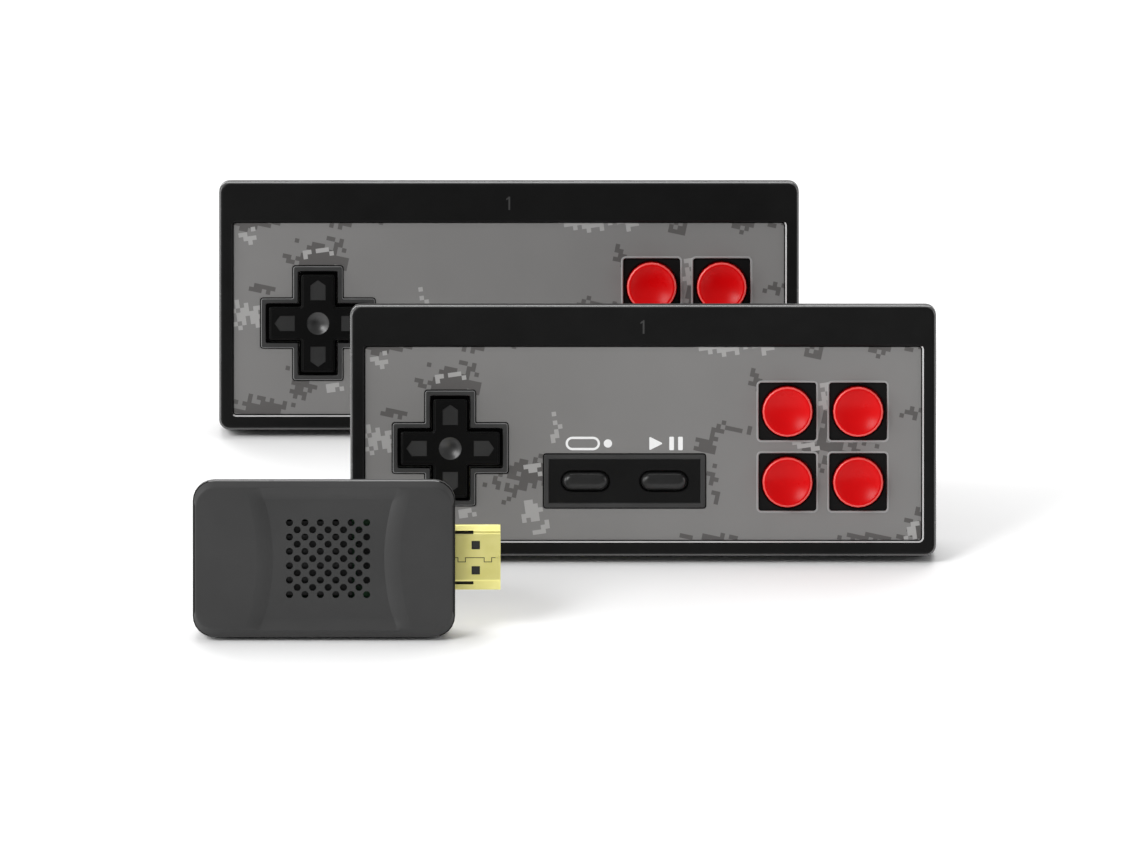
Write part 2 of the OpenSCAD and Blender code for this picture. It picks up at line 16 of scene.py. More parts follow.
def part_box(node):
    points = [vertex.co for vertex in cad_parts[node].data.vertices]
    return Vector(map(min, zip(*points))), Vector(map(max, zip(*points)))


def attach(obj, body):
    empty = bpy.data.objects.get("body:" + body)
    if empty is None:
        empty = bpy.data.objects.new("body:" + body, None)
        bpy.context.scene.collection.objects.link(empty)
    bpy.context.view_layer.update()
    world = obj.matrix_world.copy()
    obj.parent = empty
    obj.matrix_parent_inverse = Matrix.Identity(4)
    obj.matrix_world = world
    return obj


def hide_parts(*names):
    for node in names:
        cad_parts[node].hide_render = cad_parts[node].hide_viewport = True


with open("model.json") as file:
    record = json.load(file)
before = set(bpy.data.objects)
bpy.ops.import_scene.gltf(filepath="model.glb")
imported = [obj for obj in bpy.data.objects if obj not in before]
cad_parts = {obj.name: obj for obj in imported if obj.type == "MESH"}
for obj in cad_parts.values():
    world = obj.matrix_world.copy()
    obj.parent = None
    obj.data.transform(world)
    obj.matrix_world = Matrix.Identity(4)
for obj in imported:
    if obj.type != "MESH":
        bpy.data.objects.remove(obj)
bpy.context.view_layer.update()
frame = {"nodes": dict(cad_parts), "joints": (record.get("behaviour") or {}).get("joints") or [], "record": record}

MM = 0.001
PADS = ("front_pad", "rear_pad")
MERGE = 2e-6  # vertices closer than this, in metres, are one
MIN_RADIUS = 0.001
TRUE_EDGE = math.radians(34)
BEVELLED_EDGE = math.radians(40)
CREASED_EDGE = math.radians(4)

# Controller.
CASE = (126, 54)
CASE_CORNER = 2.3
CASE_WALL = 2
SPLIT_Z = 10
RIM_Z = 18
WINDOW = (120, 42)
WINDOW_AT = (0, -2.8)
FLOOR_Z = 16.8
PLATE_Z = 17.3
PLATE_GAP = 0.4
INNER_Z = 14.8
BACK_FLOOR_Z = 2.2
DPAD_AT = (-41.5, -3.8)
DPAD_SPAN = 21.2
DPAD_ARM = 7.2
DPAD_TOP_Z = 19
COLLAR_OUTSIDE = (24.7, 10.7)
COLLAR_INSIDE = (22.6, 8.6)
COLLAR_Z = 17.8
BLOCK = (34.7, 11.5)
BLOCK_AT = (-4, -10.9)
BLOCK_Z = 17.6
PANEL_Z = 17.35
PILL = (9.9, 3.9)
PILL_PITCH = 16.9
PILL_TOP_Z = 18.9
ACTION_AT = (38.6, -3.5)
ACTION_PITCH = 15.2
ACTION_R = 5.4
ACTION_TOP_Z = 19.5
ACTION_NAMES = ("button_top_left", "button_top_right", "button_bottom_left", "button_bottom_right")
FLANGE_Z = (13.5, 14.7)
# Front shell slots: grey collar plastic, then painted highlights on the case's rounded edge, on the collar's outer
# wall and on the window's lower and right chamfer.
COLLAR_SLOT, EDGE_SLOT, WALL_SLOT, WINDOW_HIGHLIGHT_SLOT = 1, 2, 3, 4
SQUARE = 12.4
SCREWS = [(x, y) for x in (-54.5, 54.5) for y in (-19.5, 19.5)]
BAY_X = -3.3
SWITCH_AT = (44, 14)

# Stick.
STICK = (56.1, 33.6)
STICK_CORNER = 4.5
STICK_WALL = 1.6
STICK_SPLIT_Z = 8
STICK_TOP_Z = 13
STICK_EDGE_Z = 12
WAIST_X = 1
WAIST_HALF = 11.9
WAIST_R = 45
WAIST_DEPTH = 0.8
WAIST_SLOPE = 4.6
WAIST_REACH = 16
WAIST_FADE = 3.2
PLUG_Z = 6.5
PLUG_HALF = (6.95, 2.225)
PLUG_OUT = 9.7

# Every item leans back as far as its lower wall is drafted, which is the way its battery door slides.
up = next(j for j in frame["joints"] if j["name"] == "front_pad_battery_door_slide")["axis"]
LEAN = math.atan2(up[1], up[2])
DRAFT = math.tan(LEAN)


# ---------- placing ----------

def standing(rear_node, height, split):
    """Matrix from an item's own frame to the set. The lower end of the line between its two halves goes to
    the floor, where the CAD has it."""
    low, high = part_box(rear_node)
    foot = Vector(((low[0] + high[0]) / 2, low[1], 0))
    turn = Matrix.Rotation(math.pi / 2 - LEAN, 4, "X")
    return Matrix.Translation(foot) @ turn @ Matrix.Translation((0, height / 2 * MM, -split * MM))


PLACES = {pad: standing(pad + "_back_shell", CASE[1], SPLIT_Z) for pad in PADS}
PLACES["stick"] = standing("stick_bottom_cover", STICK[1], STICK_SPLIT_Z)


# ---------- outlines and profiles ----------

def round_corner(before, here, after, radius, steps):
    """Points of the arc that rounds the corner at here."""
    d0, d1 = (here - before).normalized(), (after - here).normalized()
    turn = math.atan2(d0.x * d1.y - d0.y * d1.x, d0.dot(d1))
    start = here - d0 * radius * math.tan(abs(turn) / 2)
    side = Vector((-d0.y, d0.x)) * math.copysign(radius, turn)
    return [start + side + Matrix.Rotation(turn * k / steps, 2) @ -side for k in range(steps + 1)]


def outline(corners, inset, keep=0.0, steps=6):
    """Closed outline through anticlockwise corners (x, y, radius), moved inwards by inset.
    A corner's radius shrinks with the inset; keep is the share of the inset that doesn't shrink it."""
    shifted = []
    for i, (x, y, radius) in enumerate(corners):
        here = Vector((x, y))
        d0 = (here - Vector(corners[i - 1][:2])).normalized()
        d1 = (Vector(corners[(i + 1) % len(corners)][:2]) - here).normalized()
        n0, n1 = Vector((-d0.y, d0.x)), Vector((-d1.y, d1.x))
        convex = d0.x * d1.y - d0.y * d1.x > 0
        radius += (-inset if convex else inset) * (1 - keep)
        shifted.append((here + (n0 + n1) / (1 + n0.dot(n1)) * inset, max(radius, MIN_RADIUS)))
    points = []
    for i, (here, radius) in enumerate(shifted):
        before, after = shifted[i - 1][0], shifted[(i + 1) % len(shifted)][0]
        points += round_corner(before, here, after, radius, steps)
    return points


def path(*points, steps=4):
    """Open profile through (inset, z) or (inset, z, radius) points, rounded where a radius is given."""
    ends = [Vector(p[:2]) for p in points]
    made = [ends[0]]
    for i in range(1, len(points) - 1):
        if len(points[i]) == 3:
            made += round_corner(ends[i - 1], ends[i], ends[i + 1], points[i][2], steps)
        else:
            made.append(ends[i])
    return made + [ends[-1]]


def rect(w, h, r, at=(0, 0)):
    """Corners of a rounded rectangle."""
    x, y = at
    left, right, low, high = x - w / 2, x + w / 2, y - h / 2, y + h / 2
    return [(left, low, r), (right, low, r), (right, high, r), (left, high, r)]


def circle(r, at=(0, 0)):
    """Corners of a circle: a square whose corners are fully rounded."""
    return rect(2 * r, 2 * r, r, at)


def turned(points, quarter):
    """Places of corners turned about the origin by quarters of a turn, each with its radius."""
    turn = Matrix.Rotation(quarter * math.pi / 2, 2)
    return [(turn @ Vector((x, y)), r) for x, y, r in points]


def cross(span, arm, r_out, r_in, at=(0, 0)):
    """Corners of a cross with arms of one width."""
    a, s = arm / 2, span / 2
    corners = []
    for quarter in range(4):
        for p, r in turned([(a, -s, r_out), (a, -a, r_in), (s, -a, r_out)], quarter):
            p += Vector(at)
            corners.append((p.x, p.y, r))
    return corners


def moved(points, at):
    """Corners moved by at."""
    return [(x + at[0], y + at[1], r) for x, y, r in points]


def dish(r, depth, z, steps=8):
    """Profile points of a round hollow, from its rim in to its middle, for an outline of radius r."""
    middle = 0.02
    slope = [(r * k / steps, z - depth * (1 - (1 - k / steps) ** 2)) for k in range(1, steps)]
    return slope + [(r - middle, z - depth)]


# ---------- meshes ----------

def smooth(mesh):
    """Smooth shading but for the true edges."""
    mesh.shade_smooth()
    mesh.set_sharp_from_angle(angle=TRUE_EDGE)


def finish_mesh(bm, name):
    """Turns a bmesh into a smooth mesh with its normals outwards."""
    bmesh.ops.recalc_face_normals(bm, faces=bm.faces)
    mesh = bpy.data.meshes.new(name)
    bm.to_mesh(mesh)
    bm.free()
    smooth(mesh)
    return mesh


def open_rims(bm):
    """Closed chains of open edges."""
    bm.edges.index_update()
    left = {e.index: e for e in bm.edges if e.is_boundary}
    rims = []
    while left:
        reach, rim = [left.popitem()[1]], []
        while reach:
            edge = reach.pop()
            rim.append(edge)
            near = [e for v in edge.verts for e in v.link_edges if e.index in left]
            reach += [left.pop(e.index) for e in near if e.index in left]
        rims.append(rim)
    return rims


def surrounds(rim, spot):
    """True if the spot is inside the rim, seen along Z."""
    inside = False
    for edge in rim:
        a, b = (v.co for v in edge.verts)
        passes = (a.y > spot.y) != (b.y > spot.y)
        if passes and spot.x < a.x + (spot.y - a.y) / (b.y - a.y) * (b.x - a.x):
            inside = not inside
    return inside


def fill_openings(bm):
    """Fills the open rims, each with the rims straight inside it left as holes."""
    rims = open_rims(bm)
    spots = [rim[0].verts[0].co.copy() for rim in rims]
    around = []
    for i, spot in enumerate(spots):
        level = [j for j, other in enumerate(spots) if j != i and abs(spot.z - other.z) < MERGE]
        around.append([j for j in level if surrounds(rims[j], spot)])
    for i, outside in enumerate(around):
        if len(outside) % 2:
            continue
        holes = [j for j, outer in enumerate(around) if i in outer and len(outer) == len(outside) + 1]
        edges = rims[i] + [e for j in holes for e in rims[j]]
        bmesh.ops.triangle_fill(bm, edges=edges, use_beauty=True, use_dissolve=False, normal=(0, 0, 1))


def new_ring(bm, points, z):
    """Vertices round an outline at height z."""
    return [bm.verts.new((p.x * MM, p.y * MM, z * MM)) for p in points]


def join_rings(bm, rings):
    """Walls from each ring to the next."""
    for low, high in zip(rings, rings[1:]):
        for i in range(len(low)):
            bm.faces.new((low[i - 1], low[i], high[i], high[i - 1]))


def close_up(bm, name):
    """Merges the vertices that meet, fills the openings and makes the mesh."""
    bmesh.ops.remove_doubles(bm, verts=bm.verts, dist=MERGE)
    fill_openings(bm)
    return finish_mesh(bm, name)


def solid(name, loops):
    """Closed mesh from loops (corners, path) or (corners, path, keep): walls that follow each outline along
    its profile, then flat faces over all the rims that end at one height."""
    bm = bmesh.new()
    for corners, profile, *keep in loops:
        join_rings(bm, [new_ring(bm, outline(corners, inset, *keep), z) for inset, z in profile])
    return close_up(bm, name)


def box_mesh(low, high, r=0.0):
    """Closed block between two corners, with its upright edges rounded."""
    size = (high[0] - low[0], high[1] - low[1])
    middle = ((low[0] + high[0]) / 2, (low[1] + high[1]) / 2)
    return solid("block", [(rect(*size, r, middle), path((0, low[2]), (0, high[2])))])


def new_object(name, data):
    """Object in the scene."""
    obj = bpy.data.objects.new(name, data)
    bpy.context.collection.objects.link(obj)
    return obj


def boolean(mesh, operation, *tools):
    """Mesh with the tools' meshes cut from it, added to it or intersected with it."""
    target = new_object("target", mesh)
    helpers = []
    for tool in tools:
        helper = new_object("tool", tool)
        helpers.append(helper)
        modifier = target.modifiers.new("boolean", "BOOLEAN")
        modifier.operation = operation
        modifier.solver = "MANIFOLD"
        modifier.object = helper
    bpy.context.view_layer.update()
    depsgraph = bpy.context.evaluated_depsgraph_get()
    made = bpy.data.meshes.new_from_object(target.evaluated_get(depsgraph))
    for helper in [target, *helpers]:
        bpy.data.objects.remove(helper)
    made.name = mesh.name
    made.materials.clear()
    smooth(made)
    return made


def crease(mesh, z):
    """Makes every bent edge at height z sharp, so that a flat floor ends in a crisp line."""
    reach = 0.005
    bm = bmesh.new()
    bm.from_mesh(mesh)
    for edge in bm.edges:
        level = all(abs(v.co.z / MM - z) < reach for v in edge.verts)
        if level and edge.calc_face_angle(0) > CREASED_EDGE:
            edge.smooth = False
    bm.to_mesh(mesh)
    bm.free()


def paint(mesh, index, test):
    """Gives the material slot to the faces whose middle (in millimetres) and normal pass the test."""
    for face in mesh.polygons:
        if test(face.center / MM, face.normal):
            face.material_index = index


def piece(name, mesh, item, body, materials, nodes=(), edge=0.0):
    """A shown piece: stood up with its item, riding on a body, in place of its CAD nodes."""
    place = mesh.attributes.new("item_place", "FLOAT_VECTOR", "POINT")
    for point, vertex in zip(place.data, mesh.vertices):
        point.vector = vertex.co
    mesh.transform(PLACES[item])
    obj = new_object(name, mesh)
    for material in materials:
        mesh.materials.append(material)
    if edge:
        soften(obj, edge)
    weigh_normals(obj)
    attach(obj, body)
    if nodes:
        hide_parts(*nodes)


def frame_slot(node):
    """Material slot that the record gives a CAD node."""
    return next(s["material_slot"] for s in frame["record"]["subparts"] if s["node"] == node)


def soften(obj, width):
    """Small round on every true edge."""
    bevel = obj.modifiers.new("edges", "BEVEL")
    bevel.width = width * MM
    bevel.segments = 2
    bevel.limit_method = "ANGLE"
    bevel.angle_limit = BEVELLED_EDGE
    bevel.use_clamp_overlap = True


def weigh_normals(obj):
    """Normals that follow the large faces and break at sharp edges."""
    normals = obj.modifiers.new("normals", "WEIGHTED_NORMAL")
    normals.keep_sharp = True


# ---------- materials ----------

def srgb(*values):
    """Linear colour from 0 to 255 display values. One value makes a grey."""
    linear = [v / 255 / 12.92 if v <= 10 else ((v / 255 + 0.055) / 1.055) ** 2.4 for v in values]
    if len(linear) == 1:
        linear *= 3
    return (*linear, 1)


def new_material(name):
    """Material with its nodes, its links and its shader."""
    material = bpy.data.materials.new(name)
    material.use_nodes = True
    nodes, links = material.node_tree.nodes, material.node_tree.links
    return material, nodes, links, nodes["Principled BSDF"]


def noise(nodes, links, where, size, detail=2.0, roughness=0.5):
    """Noise whose blotches are about size millimetres across."""
    node = nodes.new("ShaderNodeTexNoise")
    node.inputs["Scale"].default_value = 1 / (size * MM)
    node.inputs["Detail"].default_value = detail
    node.inputs["Roughness"].default_value = roughness
    links.new(where, node.inputs["Vector"])
    return node.outputs["Fac"]


def spread(nodes, links, value, low, high):
    """Value from its middle range to the range low to high."""
    node = nodes.new("ShaderNodeMapRange")
    node.inputs["From Min"].default_value = 0.3
    node.inputs["From Max"].default_value = 0.7
    node.inputs["To Min"].default_value = low
    node.inputs["To Max"].default_value = high
    links.new(value, node.inputs["Value"])
    return node.outputs["Result"]


def feed(links, socket, value):
    """Gives a socket a fixed value, or links it to another socket."""
    if isinstance(value, bpy.types.NodeSocket):
        links.new(value, socket)
    else:
        socket.default_value = value


def blend_colours(nodes, links, factor, first, second):
    """Mixes two colours; either may be a fixed colour or a socket."""
    node = nodes.new("ShaderNodeMix")
    node.data_type = "RGBA"
    links.new(factor, node.inputs["Factor"])
    colour_in = [s for s in node.inputs if s.type == "RGBA"]
    for socket, colour in zip(colour_in, (first, second)):
        feed(links, socket, colour)
    return next(s for s in node.outputs if s.type == "RGBA")


def cloudy(nodes, links, where, size, detail, dark, light):
    """Colour that drifts between two shades in clouds about size millimetres across."""
    cloud = noise(nodes, links, where, size, detail=detail)
    return blend_colours(nodes, links, spread(nodes, links, cloud, 0, 1), dark, light)


def add_bump(nodes, links, shader, height, depth):
    """Bump of the given depth in millimetres."""
    node = nodes.new("ShaderNodeBump")
    node.inputs["Distance"].default_value = depth * MM
    node.inputs["Strength"].default_value = 1
    links.new(height, node.inputs["Height"])
    links.new(node.outputs["Normal"], shader.inputs["Normal"])


def object_place(nodes):
    """Where a point is in the set at rest."""
    return nodes.new("ShaderNodeTexCoord").outputs["Object"]


def item_place(nodes):
    """Where a point is in its item's own frame."""
    node = nodes.new("ShaderNodeAttribute")
    node.attribute_name = "item_place"
    return node.outputs["Vector"]


def moulded(name, dark, light, roughness, grain=0.3, grain_depth=0.006, coat=0.0, specular=0.5):
    """Moulded plastic or rubber: cloudy colour between two shades, uneven gloss and a fine grain."""
    cloud_size, smear_size, unevenness, coat_roughness = 14, 5, 0.05, 0.12
    material, nodes, links, shader = new_material(name)
    where = object_place(nodes)
    links.new(cloudy(nodes, links, where, cloud_size, 3, dark, light), shader.inputs["Base Color"])
    smear = noise(nodes, links, where, smear_size, detail=5, roughness=0.6)
    gloss = spread(nodes, links, smear, roughness - unevenness, roughness + unevenness)
    links.new(gloss, shader.inputs["Roughness"])
    add_bump(nodes, links, shader, noise(nodes, links, where, grain, detail=1), grain_depth)
    shader.inputs["Specular IOR Level"].default_value = specular
    shader.inputs["Coat Weight"].default_value = coat
    shader.inputs["Coat Roughness"].default_value = coat_roughness
    return material


def metal(name, dark, light, roughness, grain=0.15, grain_depth=0.0015, metallic=1.0):
    """Plated or pressed metal with fine drawn lines."""
    cloud_size, line_stretch, unevenness = 4, (0.06, 1, 1), 0.08
    material, nodes, links, shader = new_material(name)
    where = object_place(nodes)
    links.new(cloudy(nodes, links, where, cloud_size, 2, dark, light), shader.inputs["Base Color"])
    stretch = nodes.new("ShaderNodeMapping")
    stretch.inputs["Scale"].default_value = line_stretch
    links.new(where, stretch.inputs["Vector"])
    lines = noise(nodes, links, stretch.outputs["Vector"], grain)
    gloss = spread(nodes, links, lines, roughness * (1 - unevenness), roughness * (1 + unevenness))
    links.new(gloss, shader.inputs["Roughness"])
    shader.inputs["Metallic"].default_value = metallic
    add_bump(nodes, links, shader, lines, grain_depth)
    return material

# Patches of the printed pattern: middle x and y, half width and half height, and how loose its cells lie.
DARK_PATCHES = [
    (-41.8, 9.8, 5.6, 3.2, 0), (-41.8, 12.6, 6, 2, 0.9), (-24.6, -9.6, 3.4, 3.4, 0),
    (-30.5, -12, 4.5, 3, 0.8), (-27.5, 18.4, 5.5, 0.9, 0.5), (-56.5, 17.5, 4.5, 1.4, 0.7),
    (-45.5, -18.4, 3.4, 2.2, 0.5), (-54.5, -22.6, 6, 2.2, 0), (-48, -13.5, 1, 1.5, 0.5),
    (-36.5, 17.6, 2.6, 1.2, 0.75), (38.6, 1.5, 1.2, 2.6, 0.4), (39.5, -3.7, 7, 1.5, 0.3),
    (38.6, -7, 1.2, 2, 0.5), (13, -3.6, 2.4, 1.8, 0.6), (14.4, -11.5, 0.9, 4, 0.3), (58.5, -21, 2, 3, 0.5),
    (14, -23.4, 6, 0.7, 0.5), (49, -23.4, 7, 0.7, 0.5), (23.5, 10.2, 1.6, 1.9, 0.4),
    (50.5, 17.6, 2.4, 1.6, 0.6), (57.5, 17.6, 1.6, 1.6, 0.6), (36, 16.6, 1.8, 1.5, 0.6),
    (57, 3.5, 2.4, 1.2, 0.75), (17, 0, 6, 1.1, 0.8), (-54, 3, 3, 1.2, 0.8),
]
LIGHT_PATCHES = [
    (-57.4, -2.8, 3.2, 2.9, 0.72), (-57.5, 14.6, 1.8, 1.6, 0.5), (-41.8, 10.8, 4, 1.4, 1.25),
    (-24.8, -18, 2.6, 2.2, 0.8), (-22.5, -21, 1.6, 1.6, 0.7), (-24.6, -8.6, 3, 2, 1.25),
    (-38, -18, 2, 0.8, 0.5), (38.6, 7, 0.9, 3, 0.3), (34.5, -3.6, 2.4, 0.9, 0.5),
    (57.5, -22, 1.6, 1.8, 0.5), (19, 17.2, 8, 1.3, 0.7), (-19, -1, 1.2, 3.6, 0.95),
]


def vector_math(nodes, links, operation, vector, other=None):
    """Result of a vector math node. Its other input may be a fixed value or a socket."""
    node = nodes.new("ShaderNodeVectorMath")
    node.operation = operation
    links.new(vector, node.inputs[0])
    if other is not None:
        feed(links, node.inputs["Scale" if operation == "SCALE" else 1], other)
    return node.outputs["Value" if operation == "LENGTH" else "Vector"]


def value_math(nodes, links, operation, *terms):
    """Result of a math node. Each of its terms may be a fixed value or a socket."""
    node = nodes.new("ShaderNodeMath")
    node.operation = operation
    for socket, term in zip(node.inputs, terms):
        feed(links, socket, term)
    return node.outputs["Value"]


def turned_in_plane(nodes, links, vector, degrees):
    """Vector turned about Z."""
    node = nodes.new("ShaderNodeVectorRotate")
    node.rotation_type = "Z_AXIS"
    node.inputs["Angle"].default_value = math.radians(degrees)
    links.new(vector, node.inputs["Vector"])
    return node.outputs["Vector"]


def patch_strength(nodes, links, where, patches):
    """How deep each place is inside the nearest patch: 1 at its middle, 0 at its edge and below 0 outside.
    A loose patch is weaker all over."""
    nearest = None
    for x, y, half_w, half_h, loose in patches:
        shift = vector_math(nodes, links, "SUBTRACT", where, (x * MM, y * MM, -loose * MM))
        shares = (1 / (half_w * MM), 1 / (half_h * MM), 1 / MM)
        reach = vector_math(nodes, links, "LENGTH", vector_math(nodes, links, "MULTIPLY", shift, shares))
        nearest = value_math(nodes, links, "MINIMUM", nearest, reach) if nearest else reach
    return value_math(nodes, links, "SUBTRACT", 1, nearest)


def pixel_mask(nodes, links, where, patches, turn, ragged):
    """1 on the square cells of the patches, 0 elsewhere. Patches break up into loose cells at their edges,
    further out the more ragged they are."""
    cell = 0.95 * MM
    in_grid = turned_in_plane(nodes, links, where, turn)
    corner = vector_math(nodes, links, "SNAP", in_grid, (cell, cell, 1))
    counted = vector_math(nodes, links, "SCALE", corner, 1 / cell)
    rounded = vector_math(nodes, links, "FLOOR", vector_math(nodes, links, "ADD", counted, (0.5, 0.5, 0.5)))
    dice = nodes.new("ShaderNodeTexWhiteNoise")
    dice.noise_dimensions = "2D"
    links.new(rounded, dice.inputs["Vector"])
    strength = patch_strength(nodes, links, turned_in_plane(nodes, links, corner, -turn), patches)
    luck = value_math(nodes, links, "MULTIPLY_ADD", dice.outputs["Value"], ragged, -ragged * 0.5)
    return value_math(nodes, links, "GREATER_THAN", value_math(nodes, links, "ADD", strength, luck), 0)


def printed_plate():
    """Satin film, printed grey with patches of darker and lighter square cells."""
    material, nodes, links, shader = new_material("printed_plate")
    where = item_place(nodes)
    ground = cloudy(nodes, links, where, 45, 2, srgb(121, 120, 119), srgb(127, 126, 125))
    dark = pixel_mask(nodes, links, where, DARK_PATCHES, turn=12, ragged=1.05)
    shaded = blend_colours(nodes, links, dark, ground, srgb(86, 84, 83))
    light = pixel_mask(nodes, links, where, LIGHT_PATCHES, turn=-8, ragged=1.25)
    lit = blend_colours(nodes, links, light, shaded, srgb(162, 161, 160))
    links.new(lit, shader.inputs["Base Color"])
    smear = noise(nodes, links, where, 6, detail=4, roughness=0.6)
    links.new(spread(nodes, links, smear, 0.36, 0.48), shader.inputs["Roughness"])
    add_bump(nodes, links, shader, noise(nodes, links, where, 0.5), 0.003)
    return material


def circuit_board_green():
    """Green solder mask over copper runs."""
    material, nodes, links, shader = new_material("circuit_board_green")
    where = object_place(nodes)
    runs = nodes.new("ShaderNodeTexBrick")
    runs.inputs["Scale"].default_value = 1 / (4 * MM)
    runs.inputs["Color1"].default_value = srgb(18, 74, 42)
    runs.inputs["Color2"].default_value = srgb(24, 88, 50)
    runs.inputs["Mortar"].default_value = srgb(52, 122, 70)
    runs.inputs["Mortar Size"].default_value = 0.03
    links.new(where, runs.inputs["Vector"])
    links.new(runs.outputs["Color"], shader.inputs["Base Color"])
    links.new(spread(nodes, links, noise(nodes, links, where, 3), 0.25, 0.4), shader.inputs["Roughness"])
    add_bump(nodes, links, shader, runs.outputs["Fac"], 0.03)
    return material


black_plastic = moulded("black_plastic", srgb(12), srgb(16), 0.4, specular=0.16)
collar_plastic = moulded("collar_plastic", srgb(50), srgb(58), 0.45, specular=0.3)
dpad_plastic = moulded("dpad_plastic", srgb(7), srgb(10), 0.36, grain_depth=0.003, specular=0.12)
arrow_plastic = moulded("arrow_plastic", srgb(38), srgb(52), 0.5, specular=0.2)
# Painted sheen: the direction pad's hollow is coloured lighter than the rest of the pad, and glossier.
dimple_sheen = moulded("dimple_sheen", srgb(30), srgb(38), 0.36, grain_depth=0.001, specular=0.7)
pill_rubber = moulded("pill_rubber", srgb(18), srgb(24), 0.34, grain=0.2, specular=0.45)
red_gloss = moulded("red_gloss", srgb(204, 2, 6), srgb(214, 6, 10), 0.3, grain_depth=0.0012, specular=0.16)
# Painted highlight: a light red ring round the top of each action button's rim.
red_rim_highlight = moulded("red_rim_highlight", srgb(226, 74, 70), srgb(234, 88, 84), 0.25, grain_depth=0.001)
# Painted highlight along the case's rounded front edge.
case_edge_highlight = moulded("case_edge_highlight", srgb(64), srgb(78), 0.24, grain_depth=0.001, specular=0.8)
# Painted highlight on the outer wall of the direction pad's collar.
collar_wall_highlight = moulded("collar_wall_highlight", srgb(120), srgb(136), 0.35, grain_depth=0.002)
# Painted highlight on the window's chamfer, along its lower and right edges only.
window_line_highlight = moulded("window_line_highlight", srgb(184), srgb(196), 0.3, grain_depth=0.001)
# Painted highlight on the raised edges round the square cut-outs.
square_rim_highlight = moulded("square_rim_highlight", srgb(146), srgb(156), 0.4, grain_depth=0.001)
stick_plastic = moulded("stick_plastic", srgb(52), srgb(56), 0.5, grain=0.25, grain_depth=0.008,
                        specular=0.35)
# Painted shade on the ends of the stick's face.
stick_end_shade = moulded("stick_end_shade", srgb(22), srgb(28), 0.5, grain=0.25, grain_depth=0.006, specular=0.0)
# Painted highlight along the stick's upper edge.
stick_top_edge_highlight = moulded("stick_top_edge_highlight", srgb(92), srgb(100), 0.3, grain=0.25, grain_depth=0.002)
dark_plastic = moulded("dark_plastic", srgb(30), srgb(36), 0.45)
inner_plastic = moulded("inner_plastic", srgb(88), srgb(100), 0.5)
silicone = moulded("silicone", srgb(196, 196, 190), srgb(210, 210, 204), 0.6)
sleeve = moulded("sleeve", srgb(40, 104, 70), srgb(48, 116, 80), 0.3, grain_depth=0.001, coat=0.5)
white_ink = moulded("white_ink", srgb(236), srgb(244), 0.5, grain_depth=0.001)
grey_ink = moulded("grey_ink", srgb(48), srgb(54), 0.5, grain_depth=0.001)
gold = metal("gold", srgb(236, 228, 140), srgb(244, 236, 154), 0.3, grain_depth=0.0002, metallic=0.45)
steel = metal("steel", srgb(176, 174, 168), srgb(196, 194, 188), 0.3, grain_depth=0.0006)
dark_aluminium = moulded("dark_aluminium", srgb(20), srgb(26), 0.4, grain=0.2)
plate_print = printed_plate()
board_green = circuit_board_green()

CAD_MATERIALS = {
    "pad_case": black_plastic, "pad_faceplate": plate_print, "dpad_plastic": dpad_plastic,
    "hub_plastic": inner_plastic, "menu_rubber": pill_rubber, "membrane_rubber": silicone,
    "red_plastic": red_gloss, "circuit_board": board_green, "chip_plastic": dark_plastic,
    "cell_sleeve": sleeve, "contact_steel": steel, "switch_plastic": arrow_plastic,
    "stick_case": stick_plastic, "plug_gold": gold, "insulator_plastic": dark_plastic,
    "port_steel": steel, "card_plastic": dark_plastic, "black_aluminium": dark_aluminium,
}


# ---------- controller ----------

def action_spots():
    """Middles of the four action buttons, in the order of their names."""
    return [(ACTION_AT[0] + x * ACTION_PITCH, ACTION_AT[1] + y * ACTION_PITCH)
            for y in (0.5, -0.5) for x in (-0.5, 0.5)]


def pill_spots():
    """Middles of the two menu keys."""
    return [(BLOCK_AT[0] + x * PILL_PITCH, BLOCK_AT[1]) for x in (-0.5, 0.5)]


def in_collar(c):
    """True in the square that just holds the direction pad's collar."""
    half = 12.6
    return max(abs(c.x - DPAD_AT[0]), abs(c.y - DPAD_AT[1])) < half


def in_block(c):
    """True in the menu block, with 0.1 round it."""
    return all(abs(c[i] - BLOCK_AT[i]) < BLOCK[i] / 2 + 0.1 for i in (0, 1))


def on_collar_edge(c, n):
    """True on the collar's outer wall, whose outline is a cross. A highlight is painted on it in a lighter grey.
    """
    near = 0.3
    span, arm = COLLAR_OUTSIDE
    x, y = abs(c.x - DPAD_AT[0]), abs(c.y - DPAD_AT[1])
    ends = abs(max(x, y) - span / 2) < near and min(x, y) < arm / 2 + near
    sides = abs(min(x, y) - arm / 2) < near and max(x, y) > arm / 2 - near
    return FLOOR_Z < c.z < COLLAR_Z and n.z < 0.9 and in_collar(c) and (ends or sides)


def on_case_edge(c, n):
    """True on the rounded edge of the case's front, where a highlight is painted in a lighter, glossier black."""
    outer = 1.1
    beyond = abs(c.x) > CASE[0] / 2 - outer or abs(c.y) > CASE[1] / 2 - outer
    return c.z > RIM_Z - 0.9 and n.z < 0.8 and beyond


def on_window_highlight(c, n):
    """True on the window's chamfer, along its lower and right edges, where a highlight is painted in light grey.
    """
    low_y, right_x = WINDOW_AT[1] - WINDOW[1] / 2, WINDOW_AT[0] + WINDOW[0] / 2
    low = low_y - 0.6 < c.y < low_y + 0.2
    right = right_x - 0.2 < c.x < right_x + 0.5
    return RIM_Z - 0.3 < c.z < RIM_Z and n.z < 0.95 and (low or right)


